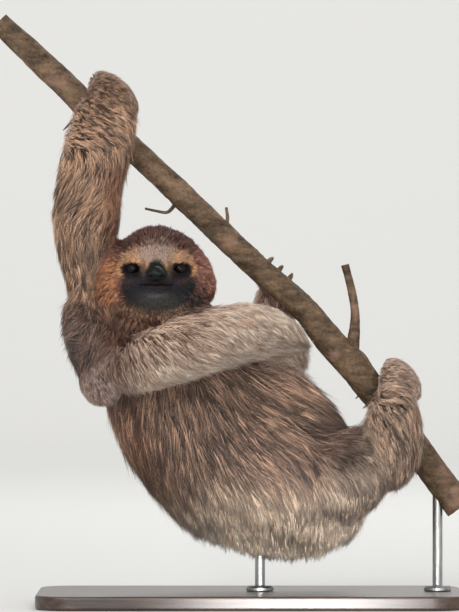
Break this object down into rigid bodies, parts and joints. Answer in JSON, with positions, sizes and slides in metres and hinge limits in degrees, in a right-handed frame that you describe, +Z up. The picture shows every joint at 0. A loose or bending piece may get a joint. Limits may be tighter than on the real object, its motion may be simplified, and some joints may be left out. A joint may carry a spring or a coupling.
{
  "type": "three-toed sloth",
  "caption": "Three-toed sloth at life size, hanging by one arm and both legs from a sloping cut branch with the other arm folded across its chest, on a flat stand with short rods.",
  "frame": {"origin": "middle of the stand base's underside", "axes": "+Z up; the animal's face and chest look along -Y; its right arm is at -X and its rump at +X"},
  "size_m": [0.3844, 0.1844, 0.4724],
  "materials": {
    "fur": "long coarse shaggy fur, brown with pale tan tips",
    "face_fur": "short dense fur, dark mask, tan brow",
    "horn": "smooth horn",
    "eye": "wet gloss",
    "nose_skin": "bare damp skin",
    "bark": "rough bark",
    "stand_wood": "dark stained, satin",
    "stand_steel": "satin steel"
  },
  "bodies": {
    "root": {"head": "face_fur", "neck": "fur", "trunk": "fur", "tail": "fur", "upper_arm_right": "fur", "forearm_right": "fur", "hand_right": "fur", "upper_arm_left": "fur", "forearm_left": "fur", "hand_left": "fur", "thigh_right": "fur", "shank_right": "fur", "foot_right": "fur", "thigh_left": "fur", "shank_left": "fur", "foot_left": "fur", "eye_right": "eye", "eye_left": "eye", "nose": "nose_skin", "claw_hand_right_1": "horn", "claw_hand_right_2": "horn", "claw_hand_right_3": "horn", "claw_hand_left_1": "horn", "claw_hand_left_2": "horn", "claw_hand_left_3": "horn", "claw_foot_right_1": "horn", "claw_foot_right_2": "horn", "claw_foot_right_3": "horn", "claw_foot_left_1": "horn", "claw_foot_left_2": "horn", "claw_foot_left_3": "horn", "perch": "bark", "stand_base": "stand_wood", "stand_rod_body": "stand_steel", "stand_rod_perch": "stand_steel"}
  },
  "joints": []
}
